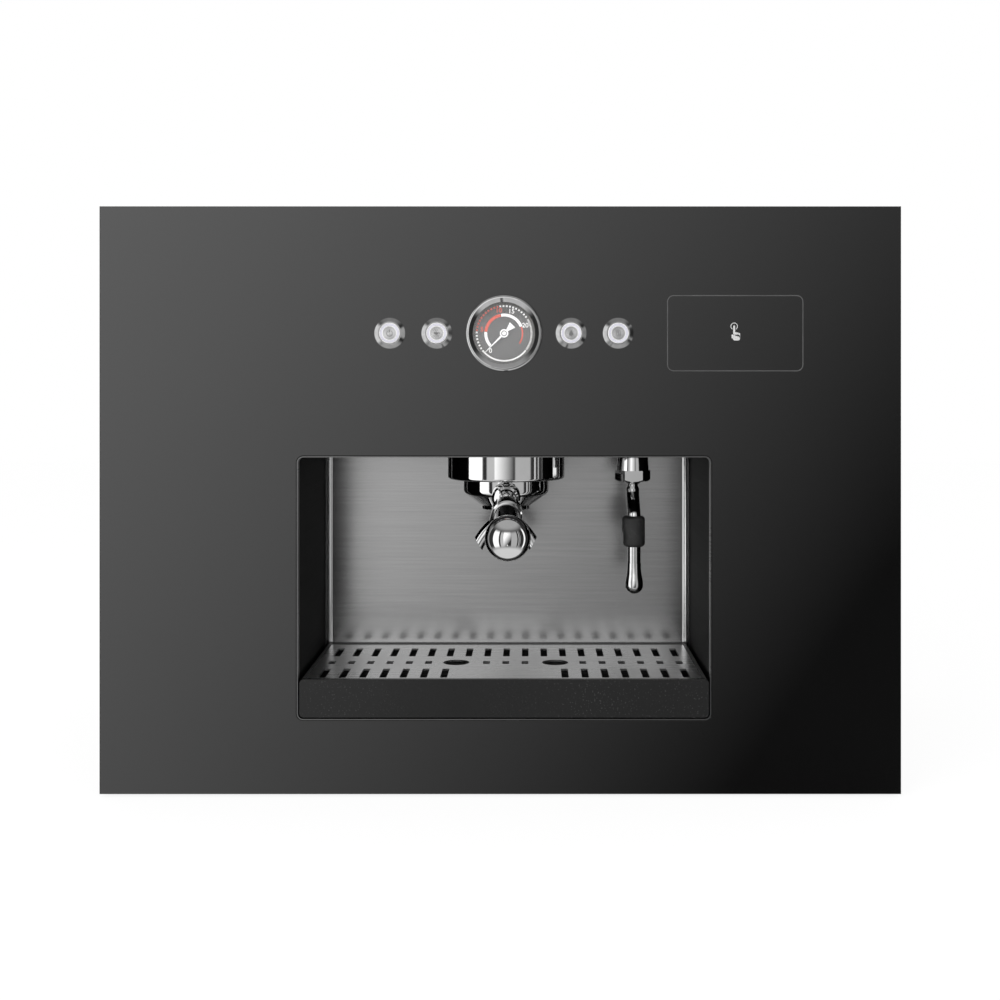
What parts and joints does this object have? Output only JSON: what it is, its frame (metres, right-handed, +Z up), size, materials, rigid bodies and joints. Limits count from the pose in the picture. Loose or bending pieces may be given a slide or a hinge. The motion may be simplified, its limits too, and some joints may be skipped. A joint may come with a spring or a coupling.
{
  "type": "built-in coffee machine",
  "caption": "Built-in espresso machine with a black glass front and a steel niche that holds a group head, portafilter, steam wand and drip tray, with a gauge and push buttons.",
  "frame": {"origin": "on the shelf under the feet, at the middle of the bounding box", "axes": "+X to the user's right, +Y into the cabinet, +Z up"},
  "size_m": [0.6, 0.466, 0.442],
  "materials": {
    "black_glass": "gloss",
    "black_enamel": "satin",
    "display_black": "gloss",
    "brushed_steel": "brushed",
    "dark_trim": "satin",
    "tray_plastic": "matte",
    "chrome": "polished",
    "polished_steel": "polished",
    "button_steel": "satin",
    "clear_glass": "clear",
    "dial_face": "matte",
    "needle_white": "matte",
    "brass": "satin",
    "copper": "satin",
    "seal_rubber": "matte",
    "seat_plastic": "matte",
    "switch_plastic": "matte",
    "sheet_steel": "galvanised",
    "screw_steel": "satin",
    "boiler_steel": "satin",
    "valve_black": "satin",
    "board_green": "satin",
    "hose_white": "satin"
  },
  "bodies": {
    "machine": {"base_plate": "sheet_steel", "brew_boiler": "boiler_steel", "button_bezels": "chrome", "button_switches": "switch_plastic", "cable_gland": "switch_plastic", "control_board": "board_green", "copper_pipes": "copper", "cover_screws": "screw_steel", "dispersion_block": "brass", "equipment_deck": "sheet_steel", "fan_frame": "switch_plastic", "fan_guard": "sheet_steel", "front_glass": "black_glass", "gauge_bezel": "chrome", "gauge_case": "brass", "gauge_dial": "dial_face", "gauge_lens": "clear_glass", "gauge_movement": "brass", "glass_frame": "black_enamel", "glide_feet": "seal_rubber", "group_bell": "chrome", "group_bracket": "sheet_steel", "group_collar": "brass", "group_gasket": "seal_rubber", "left_side_panel": "sheet_steel", "niche_back_plate": "brushed_steel", "niche_shell": "black_enamel", "niche_trim": "dark_trim", "rear_panel": "sheet_steel", "right_side_panel": "sheet_steel", "screen_screw": "polished_steel", "shower_screen": "polished_steel", "solenoid_valves": "valve_black", "steam_boiler": "boiler_steel", "top_cover": "sheet_steel", "touch_display": "display_black", "tray_bed": "brushed_steel", "wand_fitting": "chrome", "wand_nut": "chrome", "water_hoses": "hose_white", "water_inlet": "brass", "water_pump": "valve_black"},
    "tray": {"drip_tray": "tray_plastic", "tray_fascia": "black_enamel"},
    "grid": {"drip_grid": "brushed_steel"},
    "portafilter": {"portafilter_body": "chrome", "filter_basket": "polished_steel", "handle_ferrule": "chrome", "portafilter_handle": "chrome", "portafilter_spout": "chrome"},
    "wand_swivel": {"wand_seat": "seat_plastic"},
    "wand": {"wand_pipe": "polished_steel", "wand_grip": "seal_rubber", "wand_tip": "polished_steel"},
    "power_button": {"power_button_cap": "button_steel"},
    "espresso_button": {"espresso_button_cap": "button_steel"},
    "water_button": {"water_button_cap": "button_steel"},
    "steam_button": {"steam_button_cap": "button_steel"},
    "needle": {"gauge_needle": "needle_white"},
    "fan": {"fan_rotor": "switch_plastic"}
  },
  "joints": [
    {"name": "tray_slide", "type": "slide", "parent": "machine", "child": "tray", "axis": [0, -1, 0], "range_m": [0, 0.12]},
    {"name": "grid_lift", "type": "slide", "parent": "tray", "child": "grid", "axis": [0, 0, 1], "range_m": [0, 0.05]},
    {"name": "portafilter_turn", "type": "hinge", "parent": "machine", "child": "portafilter", "pos_m": [0.0028, -0.07498, 0.24], "axis": [0, 0, 1], "range_deg": [-45, 0]},
    {"name": "wand_turn", "type": "hinge", "parent": "machine", "child": "wand_swivel", "pos_m": [0.1045, -0.07498, 0.2365], "axis": [0, 0, 1], "range_deg": [-55, 55]},
    {"name": "wand_tilt", "type": "hinge", "parent": "wand_swivel", "child": "wand", "pos_m": [0.1045, -0.07498, 0.2365], "axis": [-1, 0, 0], "range_deg": [-20, 25]},
    {"name": "needle_turn", "type": "hinge", "parent": "machine", "child": "needle", "pos_m": [0.0028, -0.14478, 0.347], "axis": [0, 1, 0], "range_deg": [0, 270], "stiffness_Nm_per_rad": 0.001, "springref_deg": -5.73},
    {"name": "fan_spin", "type": "hinge", "parent": "machine", "child": "fan", "pos_m": [-0.12, 0.19732, 0.35], "axis": [0, 1, 0], "continuous": true},
    {"name": "power_press", "type": "slide", "parent": "machine", "child": "power_button", "axis": [0, 1, 0], "range_m": [0, 0.002], "stiffness_N_per_m": 500, "springref_m": -0.002},
    {"name": "espresso_press", "type": "slide", "parent": "machine", "child": "espresso_button", "axis": [0, 1, 0], "range_m": [0, 0.002], "stiffness_N_per_m": 500, "springref_m": -0.002},
    {"name": "water_press", "type": "slide", "parent": "machine", "child": "water_button", "axis": [0, 1, 0], "range_m": [0, 0.002], "stiffness_N_per_m": 500, "springref_m": -0.002},
    {"name": "steam_press", "type": "slide", "parent": "machine", "child": "steam_button", "axis": [0, 1, 0], "range_m": [0, 0.002], "stiffness_N_per_m": 500, "springref_m": -0.002}
  ]
}
